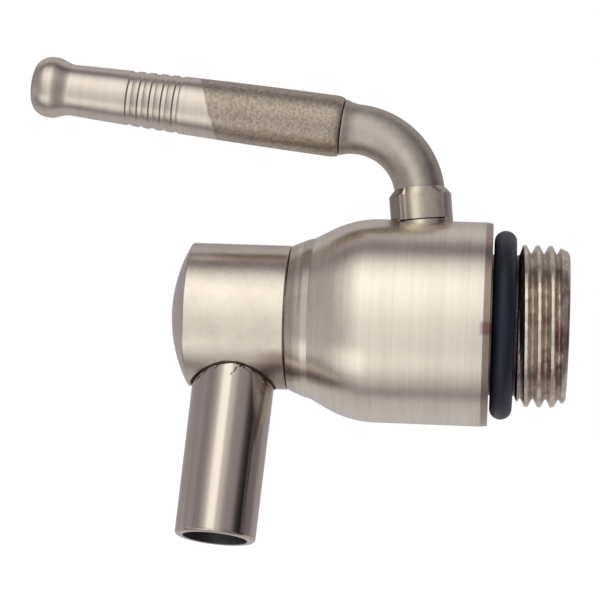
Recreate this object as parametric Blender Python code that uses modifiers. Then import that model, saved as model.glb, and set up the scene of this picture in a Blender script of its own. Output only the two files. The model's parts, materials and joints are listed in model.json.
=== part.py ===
"""Quarter-turn lever tap with a swivel spout: a ball valve on a G 5/8 male shank.

Frame: +X runs along the bore towards the threaded shank, +Z is up, and the origin is on the bore
axis at the body's sealing face. The user stands on the -X side, where the spout hangs down.
"""
import math

import bmesh
import bpy
from mathutils import Matrix, Vector

MM = 0.001  # the dimensions below are in millimetres, and angles are in degrees

# ---- valve body and shank ----
BODY_RADIUS = 14.5
BODY_EDGE = 0.12  # the long, shallow bevel at the sealing face
BODY_EDGE_LENGTH = 0.9
SHOULDER_START = -16.3  # where the cylinder turns into the shoulder
SHOULDER_RADIUS = 14.8
SHOULDER_SLOPE = 28.2
NECK_STEP_X = -25.63  # the kink between the shoulder and the neck cone
NECK_STEP_RADIUS = 11.49
NECK_RADIUS = 10.33
NECK_X = -28.78  # front face of the body
CAVITY_RADIUS = 8.6
CAVITY_BACK = -1.6
INLET_RADIUS = 6.0
SHANK_LENGTH = 10.43
THREAD_RADIUS = 11.455  # G 5/8: 22.911 mm outside
THREAD_PITCH = 1.814
THREAD_DEPTH = 1.16
THREAD_TURNS = 4
THREAD_START = 3.2
RELIEF_RADIUS = 10.25
SHANK_CHAMFER = 1.0

# ---- ball, seats and retainer ----
BALL_X = -9.05
BALL_RADIUS = 7.5
BALL_BORE = 4.25
SLOT_FLOOR = 5.3
SLOT_WIDTH = 2.6
SEAT_GAP = 0.25
SEAT_BORE = 4.4
SEAT_RADIUS = 8.2
SEAT_LIP = 6.5
SEAT_THICKNESS = 6.85  # from the ball centre to the seat's flat back
RETAINER_BORE = 5.0
RETAINER_THICKNESS = 2.4
SPANNER_SLOT = 2.0  # width, and twice the depth

# ---- stem, along its own axis and measured from the ball centre ----
STEM_RAKE = 6.2  # the stem leans towards the spout
STEM_RADIUS = 2.85
STEM_SHOULDER_RADIUS = 3.45
TANG_WIDTH = 2.2
TANG_RADIUS = 3.0
TANG_END = 5.55
SHOULDER_LOW = 8.85
SHOULDER_HIGH = 9.5
WASHER_HEIGHT = 0.4
LEDGE = 10.1
STEM_BORE = 3.1
POCKET_RADIUS = 3.9  # in the body, round the stem's shoulder
STEM_RING_SECTION = 0.42
STEM_RING_HEIGHTS = {"stem_seal_ring_lower": 10.95, "stem_seal_ring_upper": 12.35}
STEM_DRIVE_RADIUS = 2.0
STEM_DRIVE_FLAT = 1.7  # from the axis to the flat that the set screw bears on
STEM_TOP = 17.1
COUNTERBORE_FLOOR = 13.1
COUNTERBORE_RADIUS = 4.65

# ---- lever collar and its stop ----
COLLAR_RADIUS = 4.43
COLLAR_LOW = 13.3
COLLAR_CHAMFER_START = 18.2
COLLAR_TOP = 19.3
COLLAR_TOP_RADIUS = 3.5
COLLAR_FLAT = 3.65  # from the axis to each wrench flat
COLLAR_FLAT_LOW = 14.45  # the flats stop here, on a ledge
COLLAR_TURN = 8.0  # the flats are this far round from the lever's plane
COLLAR_BORE = 2.2
STOP_CIRCLE = 3.375
STOP_PIN_RADIUS = 0.45
STOP_PIN_LOW = 12.0
STOP_PIN_TOP = 14.0
STOP_ANGLE = 20.0  # round from +X, seen from above
STOP_SLOT_WIDTH = 1.25
STOP_SLOT_TOP = 14.2
STOP_MARGIN = 14.0
QUARTER_TURN = 90.0
SET_SCREW_HEIGHT = 16.1
SET_SCREW_RADIUS = 1.05
SOCKET_RADIUS = 0.6
SOCKET_DEPTH = 0.8

# ---- lever rod and grip ----
BEND_START = 18.57  # inside the collar, so the rod leaves it already leaning
BEND_RADIUS = 10.0
BEND_ANGLE = 77.5
ROD_RADIUS = 3.57
ROD_END_RADIUS = 3.7
ROD_STRAIGHT = 2.61
SPIGOT_RADIUS = 1.95  # the rod's lower end, in the collar
STUD_RADIUS = 2.0
STUD_LENGTH = 7.0
GRIP_LENGTH = 45.4
GRIP_RADIUS = 4.41
GRIP_NECK_RADIUS = 3.72
GRIP_NECK_Z = 38.6
BULB_RADIUS = 4.4
BULB_CENTRE = 42.9
BULB_END_RADIUS = 2.1
GROOVE_COUNT = 5
GROOVE_FIRST = 23.75
GROOVE_PITCH = 1.7
GROOVE_DEPTH = 0.15
GROOVE_HALF_WIDTH = 0.4
GRIP_EDGE = 0.2

# ---- spout head and tube ----
SPOUT_SPIN = 14.0  # the spout hangs this far round towards -Y
HEAD_GAP = 0.22
HEAD_RADIUS = 10.3
HEAD_EDGE_X = -43.1
DOME_RADIUS = 20.64
CHAMBER_RADIUS = 6.8
CHAMBER_END = -42.0
SPIGOT_OUTER = 8.35
SPIGOT_BORE = 5.6
SPIGOT_END = -20.3
HEAD_RING_SECTION = 0.7
HEAD_RING_PLACES = {"head_seal_ring_front": -26.4, "head_seal_ring_rear": -21.9}
RETAINING_X = -24.1
RETAINING_SECTION = 0.5
RETAINING_SPLIT = 2.0
TUBE_X = -36.0
TUBE_LEAN = 2.8
TUBE_TOP = 7.2
TUBE_LENGTH = 32.4  # from the bore axis to the mouth
TUBE_RADIUS = 5.83
MOUTH_RADIUS = 5.68
TUBE_BORE = 4.48
LIP = 0.45
MOUTH_BEVEL = 0.1

# ---- seals ----
SHANK_RING_SECTION = 1.5
SHANK_RING_RADIUS = 11.9

GAP = 0.15  # between pieces that touch
GROOVE_PLAY = 0.15  # on each side of a ring in its groove
CUT_PAST = 2.0  # how far a cutter runs past the face it cuts

STEEL = (0.46, 0.42, 0.38)
BLACK_RUBBER = (0.012, 0.012, 0.018)
PTFE = (0.82, 0.81, 0.77)


# ---------------------------------------------------------------- helpers


def clear_scene():
    for old in list(bpy.data.objects):
        bpy.data.objects.remove(old, do_unlink=True)


def new_collection(name):
    group = bpy.data.collections.new(name)
    bpy.context.scene.collection.children.link(group)
    return group


def material(name, color, roughness, metallic):
    made = bpy.data.materials.new(name)
    made.use_nodes = True
    shader = made.node_tree.nodes["Principled BSDF"]
    shader.inputs["Base Color"].default_value = (*color, 1.0)
    shader.inputs["Roughness"].default_value = roughness
    shader.inputs["Metallic"].default_value = metallic
    made.diffuse_color = (*color, 1.0)
    return made


def arc(centre_r, centre_z, radius, start, end, count):
    """Points (r, z) on an arc, from angle start to end in degrees, both ends included."""
    angles = [math.radians(start + (end - start) * i / count) for i in range(count + 1)]
    return [(centre_r + radius * math.cos(a), centre_z + radius * math.sin(a)) for a in angles]


def add_object(name, data, group, parent):
    made = bpy.data.objects.new(name, data)
    group.objects.link(made)
    made.parent = parent
    return made


def turned(name, outline, group, parent, steps, closed):
    """A solid of revolution about local Z: outline is (radius, height) in mm, down its outer side."""
    mesh = bpy.data.meshes.new(name)
    points = [(r * MM, 0.0, z * MM) for r, z in outline]
    edges = [(i, i + 1) for i in range(len(points) - 1)]
    if closed:
        edges.append((len(points) - 1, 0))
    mesh.from_pydata(points, edges, [])
    made = add_object(name, mesh, group, parent)
    screw = made.modifiers.new("turn", "SCREW")
    screw.axis = "Z"
    screw.angle = math.tau
    screw.steps = steps
    screw.render_steps = steps
    screw.use_merge_vertices = True
    screw.merge_threshold = 1e-6
    screw.use_smooth_shade = True
    return made


def ring(name, centre_radius, section, height, parent, steps, sides):
    """An O-ring of round section about local Z."""
    outline = arc(centre_radius, height, section, 90.0, -270.0, sides)[:-1]
    return turned(name, outline, PARTS, parent, steps, closed=True)


def cylinder(name, radius, low, high, group, parent, steps):
    outline = [(0.0, high), (radius, high), (radius, low), (0.0, low)]
    return turned(name, outline, group, parent, steps, closed=False)


def box(name, size, centre, group, parent, turn=0.0):
    """A block with its size and centre in mm, turned about the parent's Z axis."""
    mesh = bpy.data.meshes.new(name)
    shape = bmesh.new()
    bmesh.ops.create_cube(shape, size=1.0)
    bmesh.ops.scale(shape, vec=Vector(size) * MM, verts=shape.verts)
    bmesh.ops.translate(shape, vec=Vector(centre) * MM, verts=shape.verts)
    shape.to_mesh(mesh)
    shape.free()
    made = add_object(name, mesh, group, parent)
    made.rotation_euler = (0.0, 0.0, math.radians(turn))
    return made


def extruded(name, outline, low, high, parent):
    """A cutter from a flat outline in the local XY plane, between two heights."""
    curve = bpy.data.curves.new(name, "CURVE")
    curve.dimensions = "2D"
    curve.fill_mode = "BOTH"
    curve.extrude = (high - low) / 2.0 * MM
    spline = curve.splines.new("POLY")
    spline.points.add(len(outline) - 1)
    for point, (x, y) in zip(spline.points, outline):
        point.co = (x * MM, y * MM, 0.0, 1.0)
    spline.use_cyclic_u = True
    made = to_mesh(add_object(name, curve, CUTTERS, parent))
    made.location = (0.0, 0.0, (low + high) / 2.0 * MM)
    return made


def to_mesh(curve_object):
    """Turns a curve object into a mesh object of the same name, with its caps welded."""
    name = curve_object.name
    group = curve_object.users_collection[0]
    parent = curve_object.parent
    bpy.context.view_layer.update()
    graph = bpy.context.evaluated_depsgraph_get()
    mesh = bpy.data.meshes.new_from_object(curve_object.evaluated_get(graph))
    shape = bmesh.new()
    shape.from_mesh(mesh)
    bmesh.ops.remove_doubles(shape, verts=shape.verts, dist=1e-6)
    shape.to_mesh(mesh)
    shape.free()
    bpy.data.objects.remove(curve_object, do_unlink=True)
    return add_object(name, mesh, group, parent)


def cut(target, *cutters):
    for cutter in cutters:
        cutter.hide_render = True
        cutter.display_type = "WIRE"
        modifier = target.modifiers.new(cutter.name, "BOOLEAN")
        modifier.operation = "DIFFERENCE"
        modifier.object = cutter


def empty(name, location, rotation, parent=None):
    """A guide on an axis: location in mm, rotation as Euler angles in degrees."""
    made = bpy.data.objects.new(name, None)
    GUIDES.objects.link(made)
    made.empty_display_size = 5.0 * MM
    made.parent = parent
    made.location = Vector(location) * MM
    made.rotation_euler = [math.radians(a) for a in rotation]
    return made


def finish(part, color, roughness, metallic):
    part.data.materials.clear()
    part.data.materials.append(material(part.name, color, roughness, metallic))


def steel(part, roughness=0.3):
    finish(part, STEEL, roughness, 1.0)


def rubber(part):
    finish(part, BLACK_RUBBER, 0.45, 0.0)


def plastic(part):
    finish(part, PTFE, 0.4, 0.0)


# ---------------------------------------------------------------- body


def thread_ridges():
    """Outer side of the shank, from its end face down to the relief: pointed ridges, one per pitch."""
    points = [
        (THREAD_RADIUS - SHANK_CHAMFER, SHANK_LENGTH),
        (THREAD_RADIUS, SHANK_LENGTH - SHANK_CHAMFER),
    ]
    root = THREAD_RADIUS - THREAD_DEPTH
    for turn in range(THREAD_TURNS - 1, 0, -1):
        middle = THREAD_START + turn * THREAD_PITCH
        points += [
            (THREAD_RADIUS, middle + 0.42 * THREAD_PITCH),
            (root, middle),
            (THREAD_RADIUS, middle - 0.42 * THREAD_PITCH),
        ]
    points += [(THREAD_RADIUS, THREAD_START + 0.5 * THREAD_PITCH), (RELIEF_RADIUS, THREAD_START)]
    return points


def shoulder_points():
    """The rounded shoulder and the two cones that lead down to the neck."""
    rounded = arc(
        BODY_RADIUS - SHOULDER_RADIUS, SHOULDER_START, SHOULDER_RADIUS, 0.0, -SHOULDER_SLOPE, 5
    )
    return rounded + [(NECK_STEP_RADIUS, NECK_STEP_X), (NECK_RADIUS, NECK_X)]


def body_outline():
    groove = RETAINING_SECTION + GROOVE_PLAY + 0.1
    return (
        [(INLET_RADIUS, SHANK_LENGTH)]
        + thread_ridges()
        + [(RELIEF_RADIUS, 0.0), (BODY_RADIUS - BODY_EDGE, 0.0)]
        + [(BODY_RADIUS, -BODY_EDGE_LENGTH)]
        + shoulder_points()
        + [
            (CAVITY_RADIUS, NECK_X),
            (CAVITY_RADIUS, RETAINING_X - groove),
            (CAVITY_RADIUS + groove, RETAINING_X - groove),
            (CAVITY_RADIUS + groove, RETAINING_X + groove),
            (CAVITY_RADIUS, RETAINING_X + groove),
            (CAVITY_RADIUS, CAVITY_BACK),
            (INLET_RADIUS, CAVITY_BACK),
        ]
    )


def stem_bore_cutter():
    """The stepped hole for the stem: shoulder pocket, sealed bore, counterbore for the collar."""
    outline = [
        (0.0, COLLAR_TOP),
        (COUNTERBORE_RADIUS, COLLAR_TOP),
        (COUNTERBORE_RADIUS, COUNTERBORE_FLOOR),
        (STEM_BORE, COUNTERBORE_FLOOR),
        (STEM_BORE, LEDGE),
        (POCKET_RADIUS, LEDGE),
        (POCKET_RADIUS, SLOT_FLOOR),
        (0.0, SLOT_FLOOR),
    ]
    return turned("stem_bore_cutter", outline, CUTTERS, STEM_AXIS, 32, closed=False)


def stop_place():
    angle = math.radians(STOP_ANGLE)
    return STOP_CIRCLE * math.cos(angle), STOP_CIRCLE * math.sin(angle)


def make_body():
    body = turned("valve_body", body_outline(), PARTS, BORE_AXIS, 48, closed=True)
    x, y = stop_place()
    pin_hole = cylinder(
        "stop_pin_hole_cutter",
        STOP_PIN_RADIUS + GAP,
        STOP_PIN_LOW - GAP,
        COLLAR_LOW,
        CUTTERS,
        STEM_AXIS,
        12,
    )
    pin_hole.location = (x * MM, y * MM, 0.0)
    cut(body, stem_bore_cutter(), pin_hole)
    steel(body)

    pin = cylinder(
        "stop_pin", STOP_PIN_RADIUS, STOP_PIN_LOW, STOP_PIN_TOP, PARTS, STEM_AXIS, 12
    )
    pin.location = (x * MM, y * MM, 0.0)
    steel(pin)

    seal = ring(
        "shank_seal_ring",
        SHANK_RING_RADIUS,
        SHANK_RING_SECTION,
        SHANK_RING_SECTION + GAP,
        BORE_AXIS,
        44,
        12,
    )
    rubber(seal)


# ---------------------------------------------------------------- ball and seats


def seat_outline(side):
    """A ring with a spherical cup for the ball; side is +1 behind the ball and -1 in front."""
    cup = BALL_RADIUS + SEAT_GAP
    start = math.degrees(math.asin(SEAT_BORE / cup))
    end = math.degrees(math.asin(SEAT_LIP / cup))
    angles = [math.radians(start + (end - start) * i / 4) for i in range(5)]
    cup_points = [(cup * math.sin(a), cup * math.cos(a)) for a in angles]
    outer = [(SEAT_RADIUS, cup_points[-1][1]), (SEAT_RADIUS, SEAT_THICKNESS)]
    loop = [(SEAT_BORE, SEAT_THICKNESS)] + cup_points + outer
    if side > 0:
        loop = loop[::-1]
    return [(r, BALL_X + side * z) for r, z in loop]


def make_seats():
    for name, side in (("rear_seat", 1), ("front_seat", -1)):
        plastic(turned(name, seat_outline(side), PARTS, BORE_AXIS, 28, closed=True))


def make_retainer():
    """Threaded ring that holds the seats against the ball, with two spanner slots."""
    back = BALL_X - SEAT_THICKNESS - GAP
    front = back - RETAINER_THICKNESS
    outline = [
        (RETAINER_BORE, back),
        (SEAT_RADIUS, back),
        (SEAT_RADIUS, front),
        (RETAINER_BORE, front),
    ]
    retainer = turned("seat_retainer", outline, PARTS, BORE_AXIS, 28, closed=True)
    slot = box(
        "spanner_slot_cutter",
        (3.0 * BODY_RADIUS, SPANNER_SLOT, SPANNER_SLOT),
        (0.0, 0.0, front),
        CUTTERS,
        BORE_AXIS,
        turn=45.0,
    )
    cut(retainer, slot)
    steel(retainer)


def make_ball():
    edge = math.degrees(math.acos(BALL_BORE / BALL_RADIUS))
    outline = arc(0.0, 0.0, BALL_RADIUS, edge, -edge, 9)
    ball = turned("valve_ball", outline, PARTS, BALL_AXIS, 28, closed=True)
    ball.rotation_euler = (0.0, math.radians(90.0 + STEM_RAKE), 0.0)
    slot = box(
        "ball_slot_cutter",
        (SLOT_WIDTH, 3.0 * BALL_RADIUS, BALL_RADIUS),
        (0.0, 0.0, SLOT_FLOOR + BALL_RADIUS / 2.0),
        CUTTERS,
        BALL_AXIS,
    )
    cut(ball, slot)
    steel(ball, 0.12)


# ---------------------------------------------------------------- stem


def stem_outline():
    groove = STEM_RING_SECTION + 0.08
    floor = STEM_BORE - 2.0 * STEM_RING_SECTION - 0.2
    points = [
        (0.0, STEM_TOP),
        (STEM_DRIVE_RADIUS, STEM_TOP),
        (STEM_DRIVE_RADIUS, COLLAR_LOW),
        (STEM_RADIUS, COUNTERBORE_FLOOR),
    ]
    for height in sorted(STEM_RING_HEIGHTS.values(), reverse=True):
        points += [
            (STEM_RADIUS, height + groove),
            (floor, height + groove),
            (floor, height - groove),
            (STEM_RADIUS, height - groove),
        ]
    points += [
        (STEM_RADIUS, SHOULDER_HIGH),
        (STEM_SHOULDER_RADIUS, SHOULDER_HIGH),
        (STEM_SHOULDER_RADIUS, SHOULDER_LOW),
        (TANG_RADIUS, SHOULDER_LOW),
        (TANG_RADIUS, TANG_END),
        (0.0, TANG_END),
    ]
    return points


def make_stem():
    stem = turned("valve_stem", stem_outline(), PARTS, LEVER_AXIS, 24, closed=False)
    height = SHOULDER_LOW - TANG_END + CUT_PAST
    middle = SHOULDER_LOW - height / 2.0
    for side in (-1, 1):
        width = 2.0 * STEM_SHOULDER_RADIUS
        name = "tang_cutter_front" if side < 0 else "tang_cutter_rear"
        centre = (side * (TANG_WIDTH + width) / 2.0, 0.0, middle)
        cut(stem, box(name, (width, 3.0 * width, height), centre, CUTTERS, LEVER_AXIS))
    flat = box(
        "drive_flat_cutter",
        (4.0 * STEM_DRIVE_RADIUS, CUT_PAST, STEM_TOP - COLLAR_LOW),
        (0.0, STEM_DRIVE_FLAT + CUT_PAST / 2.0, (STEM_TOP + COLLAR_LOW + CUT_PAST) / 2.0),
        CUTTERS,
        LEVER_AXIS,
        turn=COLLAR_TURN,
    )
    cut(stem, flat)
    steel(stem, 0.2)

    for name, place in STEM_RING_HEIGHTS.items():
        centre_radius = STEM_BORE - 0.11 - STEM_RING_SECTION
        rubber(ring(name, centre_radius, STEM_RING_SECTION, place, LEVER_AXIS, 24, 8))

    low = SHOULDER_HIGH + 0.1
    washer = [
        (STEM_BORE, low + WASHER_HEIGHT),
        (STEM_SHOULDER_RADIUS + 0.1, low + WASHER_HEIGHT),
        (STEM_SHOULDER_RADIUS + 0.1, low),
        (STEM_BORE, low),
    ]
    plastic(turned("thrust_washer", washer, PARTS, STEM_AXIS, 24, closed=True))


# ---------------------------------------------------------------- lever


def stop_slot_outline():
    """Sector in the collar's underside that the stop pin runs in over a quarter turn."""
    start = math.radians(STOP_ANGLE - STOP_MARGIN)
    end = math.radians(STOP_ANGLE + QUARTER_TURN + STOP_MARGIN)
    inner = STOP_CIRCLE - STOP_SLOT_WIDTH / 2.0
    outer = STOP_CIRCLE + STOP_SLOT_WIDTH / 2.0
    count = 10
    angles = [start + (end - start) * i / count for i in range(count + 1)]
    outside = [(outer * math.cos(a), outer * math.sin(a)) for a in angles]
    inside = [(inner * math.cos(a), inner * math.sin(a)) for a in reversed(angles)]
    return outside + inside


def make_collar():
    outline = [
        (COLLAR_BORE, COLLAR_TOP),
        (COLLAR_TOP_RADIUS, COLLAR_TOP),
        (COLLAR_RADIUS, COLLAR_CHAMFER_START),
        (COLLAR_RADIUS, COLLAR_LOW),
        (COLLAR_BORE, COLLAR_LOW),
    ]
    collar = turned("lever_collar", outline, PARTS, LEVER_AXIS, 32, closed=True)
    height = COLLAR_TOP - COLLAR_FLAT_LOW + CUT_PAST
    size = (3.0 * COLLAR_RADIUS, CUT_PAST, height)
    middle = COLLAR_FLAT_LOW + height / 2.0
    for side in (-1, 1):
        name = "collar_flat_cutter_left" if side < 0 else "collar_flat_cutter_right"
        centre = (0.0, side * (COLLAR_FLAT + CUT_PAST / 2.0), middle)
        cut(collar, box(name, size, centre, CUTTERS, LEVER_AXIS, COLLAR_TURN))
    outline = stop_slot_outline()
    low = COLLAR_LOW - CUT_PAST
    cut(collar, extruded("stop_slot_cutter", outline, low, STOP_SLOT_TOP, LEVER_AXIS))
    past = COLLAR_RADIUS + CUT_PAST
    hole_radius = SET_SCREW_RADIUS + GAP
    inside = COLLAR_BORE / 2.0
    cut(collar, radial_cylinder("screw_hole_cutter", hole_radius, inside, past, CUTTERS, 16))
    steel(collar)

    tip = STEM_DRIVE_FLAT + 0.2
    face = COLLAR_FLAT - 0.1
    screw = radial_cylinder("collar_set_screw", SET_SCREW_RADIUS, tip, face, PARTS, 16)
    floor = face - SOCKET_DEPTH
    cut(screw, radial_cylinder("screw_socket_cutter", SOCKET_RADIUS, floor, past, CUTTERS, 6))
    steel(screw, 0.35)


def radial_cylinder(name, radius, inner, outer, group, sides):
    """A short cylinder that points out of the collar's rear flat, between two distances."""
    made = cylinder(name, radius, inner, outer, group, LEVER_AXIS, sides)
    turn = Matrix.Rotation(math.radians(COLLAR_TURN), 4, "Z")
    lift = Matrix.Translation((0.0, 0.0, SET_SCREW_HEIGHT * MM))
    made.matrix_local = turn @ lift @ Matrix.Rotation(math.radians(-90.0), 4, "X")
    return made


def neck_route():
    """(x, z, radius) along the bent rod in the stem's frame: upright, bend, straight, stud."""
    route = [(0.0, STEM_TOP + 0.3, ROD_RADIUS), (0.0, BEND_START, ROD_RADIUS)]
    count = 10
    for i in range(1, count + 1):
        angle = math.radians(BEND_ANGLE * i / count)
        x = BEND_RADIUS * (math.cos(angle) - 1.0)
        z = BEND_START + BEND_RADIUS * math.sin(angle)
        route.append((x, z, ROD_RADIUS))
    end_x, end_z, _ = route[-1]
    run_x = -math.sin(math.radians(BEND_ANGLE))
    run_z = math.cos(math.radians(BEND_ANGLE))
    reach = ROD_STRAIGHT - GAP
    for distance, radius in (
        (reach, ROD_END_RADIUS),
        (reach + 0.01, STUD_RADIUS),
        (reach + STUD_LENGTH, STUD_RADIUS),
    ):
        route.append((end_x + distance * run_x, end_z + distance * run_z, radius))
    return route


def make_neck():
    curve = bpy.data.curves.new("lever_neck", "CURVE")
    curve.dimensions = "3D"
    curve.bevel_depth = MM
    curve.bevel_resolution = 6
    curve.use_fill_caps = True
    route = neck_route()
    spline = curve.splines.new("POLY")
    spline.points.add(len(route) - 1)
    for point, (x, z, radius) in zip(spline.points, route):
        point.co = (x * MM, 0.0, z * MM, 1.0)
        point.radius = radius
    neck = to_mesh(add_object("lever_neck", curve, PARTS, LEVER_AXIS))
    for face in neck.data.polygons:
        face.use_smooth = True
    neck.data.set_sharp_from_angle(angle=math.radians(40.0))
    top = COLLAR_TOP + GAP
    wide = ROD_RADIUS + CUT_PAST
    around_spigot = [
        (SPIGOT_RADIUS, top),
        (wide, top),
        (wide, STEM_TOP - CUT_PAST),
        (SPIGOT_RADIUS, STEM_TOP - CUT_PAST),
    ]
    cut(neck, turned("neck_spigot_cutter", around_spigot, CUTTERS, LEVER_AXIS, 24, closed=True))
    steel(neck)


def grip_radius(z):
    """The grip's radius narrows smoothly towards the bulb."""
    return GRIP_RADIUS - (GRIP_RADIUS - GRIP_NECK_RADIUS) * (z / GRIP_NECK_Z) ** 2


def bulb_points():
    """The rounded end of the grip, from its end face down to the narrow part behind it."""
    length = GRIP_LENGTH - BULB_CENTRE
    points = [(0.0, GRIP_LENGTH)]
    for i in range(6):
        angle = math.radians(90.0 * i / 5)
        radius = BULB_END_RADIUS + (BULB_RADIUS - BULB_END_RADIUS) * math.sin(angle)
        points.append((radius, BULB_CENTRE + length * math.cos(angle)))
    for i in range(1, 6):
        share = i / 5
        blend = (1.0 + math.cos(math.pi * share)) / 2.0
        radius = GRIP_NECK_RADIUS + (BULB_RADIUS - GRIP_NECK_RADIUS) * blend
        points.append((radius, BULB_CENTRE + (GRIP_NECK_Z - BULB_CENTRE) * share))
    return points


def grip_outline():
    points = bulb_points()
    for i in reversed(range(GROOVE_COUNT)):
        z = GROOVE_FIRST + i * GROOVE_PITCH
        points += [
            (grip_radius(z), z + GROOVE_HALF_WIDTH),
            (grip_radius(z) - GROOVE_DEPTH, z),
            (grip_radius(z), z - GROOVE_HALF_WIDTH),
        ]
    plain = (0.75 * GROOVE_FIRST, 0.4 * GROOVE_FIRST, 3.0 * GRIP_EDGE)
    points += [(grip_radius(z), z) for z in plain]
    points += [(GRIP_RADIUS - GRIP_EDGE, GRIP_EDGE), (ROD_END_RADIUS + 0.1, 0.0)]
    socket = STUD_LENGTH + 0.5
    points += [(STUD_RADIUS + GAP, 0.0), (STUD_RADIUS + GAP, socket), (0.0, socket)]
    return points


def make_grip():
    grip = turned("lever_grip", grip_outline(), PARTS, GRIP_AXIS, 32, closed=False)
    steel(grip)


# ---------------------------------------------------------------- spout


def head_outline():
    """Cup of the spout head: from the chamber floor up the inside, then down the outside."""
    points = [
        (0.0, CHAMBER_END),
        (CHAMBER_RADIUS, CHAMBER_END),
        (CHAMBER_RADIUS, NECK_X - 1.0),
        (SPIGOT_BORE, NECK_X),
        (SPIGOT_BORE, SPIGOT_END),
        (SPIGOT_OUTER, SPIGOT_END),
    ]
    ring_groove = HEAD_RING_SECTION + GROOVE_PLAY
    grooves = [(x, ring_groove, 2.0 * HEAD_RING_SECTION - 0.1) for x in HEAD_RING_PLACES.values()]
    grooves.append((RETAINING_X, RETAINING_SECTION + GROOVE_PLAY, RETAINING_SECTION))
    for x, half, depth in sorted(grooves, reverse=True):
        points += [
            (SPIGOT_OUTER, x + half),
            (SPIGOT_OUTER - depth, x + half),
            (SPIGOT_OUTER - depth, x - half),
            (SPIGOT_OUTER, x - half),
        ]
    face = NECK_X - HEAD_GAP
    points += [(SPIGOT_OUTER, face), (HEAD_RADIUS - 0.1, face), (HEAD_RADIUS, face - 0.1)]
    half_angle = math.degrees(math.asin(HEAD_RADIUS / DOME_RADIUS))
    centre = HEAD_EDGE_X + DOME_RADIUS * math.cos(math.radians(half_angle))
    points += arc(0.0, centre, DOME_RADIUS, -90.0 + half_angle, -90.0, 5)[:-1]
    points.append((0.0, centre - DOME_RADIUS))
    return points


def make_head():
    head = turned("spout_head", head_outline(), PARTS, SPOUT_BORE, 40, closed=False)
    low = -HEAD_RADIUS - CUT_PAST
    high = -CHAMBER_RADIUS / 2.0
    cut(head, cylinder("tube_hole_cutter", TUBE_RADIUS + GAP, low, high, CUTTERS, TUBE_AXIS, 32))
    steel(head)

    for name, x in HEAD_RING_PLACES.items():
        centre_radius = CAVITY_RADIUS - 0.1 - HEAD_RING_SECTION
        rubber(ring(name, centre_radius, HEAD_RING_SECTION, x, SPOUT_BORE, 28, 8))

    spring = ring(
        "head_retaining_ring",
        CAVITY_RADIUS + 0.15,
        RETAINING_SECTION,
        RETAINING_X,
        SPOUT_BORE,
        28,
        8,
    )
    reach = 6.0 * RETAINING_SECTION
    size = (reach, RETAINING_SPLIT, reach)
    place = (CAVITY_RADIUS, 0.0, RETAINING_X)
    cut(spring, box("ring_split_cutter", size, place, CUTTERS, SPOUT_BORE))
    steel(spring, 0.35)


def make_tube():
    """The spout tube, with its mouth rounded over. Heights run down from the bore axis."""
    lip_r = MOUTH_RADIUS - LIP
    lip_z = -TUBE_LENGTH + LIP
    outline = [(TUBE_BORE, -TUBE_TOP), (TUBE_RADIUS, -TUBE_TOP)]
    outline += arc(lip_r, lip_z, LIP, 0.0, -90.0, 3)
    outline += [(TUBE_BORE + MOUTH_BEVEL, -TUBE_LENGTH), (TUBE_BORE, -TUBE_LENGTH + MOUTH_BEVEL)]
    tube = turned("spout_tube", outline, PARTS, TUBE_AXIS, 36, closed=True)
    steel(tube, 0.15)


# ---------------------------------------------------------------- assembly

clear_scene()
PARTS = new_collection("lever_tap")
CUTTERS = new_collection("cutters")
GUIDES = new_collection("axes")

# Local Z of BORE_AXIS and SPOUT_BORE runs along world +X; local Z of the stem's guides runs up the stem.
BORE_AXIS = empty("bore_axis", (0.0, 0.0, 0.0), (0.0, 90.0, 0.0))
STEM_AXIS = empty("stem_axis", (BALL_X, 0.0, 0.0), (0.0, -STEM_RAKE, 0.0))
LEVER_AXIS = empty("lever_axis", (BALL_X, 0.0, 0.0), (0.0, -STEM_RAKE, 0.0))
BALL_AXIS = empty("ball_axis", (BALL_X, 0.0, 0.0), (0.0, -STEM_RAKE, 0.0))
SPOUT_AXIS = empty("spout_axis", (0.0, 0.0, 0.0), (-SPOUT_SPIN, 0.0, 0.0))
SPOUT_BORE = empty("spout_bore_axis", (0.0, 0.0, 0.0), (0.0, 90.0, 0.0), SPOUT_AXIS)
TUBE_AXIS = empty("tube_axis", (TUBE_X, 0.0, 0.0), (0.0, TUBE_LEAN, 0.0), SPOUT_AXIS)
GRIP_AXIS = empty("grip_axis", (0.0, 0.0, 0.0), (0.0, -BEND_ANGLE, 0.0), LEVER_AXIS)
BEND = math.radians(BEND_ANGLE)
GRIP_AXIS.location = (
    Vector((BEND_RADIUS * (math.cos(BEND) - 1.0), 0.0, BEND_START + BEND_RADIUS * math.sin(BEND)))
    + ROD_STRAIGHT * Vector((-math.sin(BEND), 0.0, math.cos(BEND)))
) * MM

make_body()
make_seats()
make_retainer()
make_ball()
make_stem()
make_collar()
make_neck()
make_grip()
make_head()
make_tube()
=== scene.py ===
"""Looks of the lever tap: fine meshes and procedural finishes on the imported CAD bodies."""

import json
import math

import bmesh
import bpy
from mathutils import Matrix, Vector, noise


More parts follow.
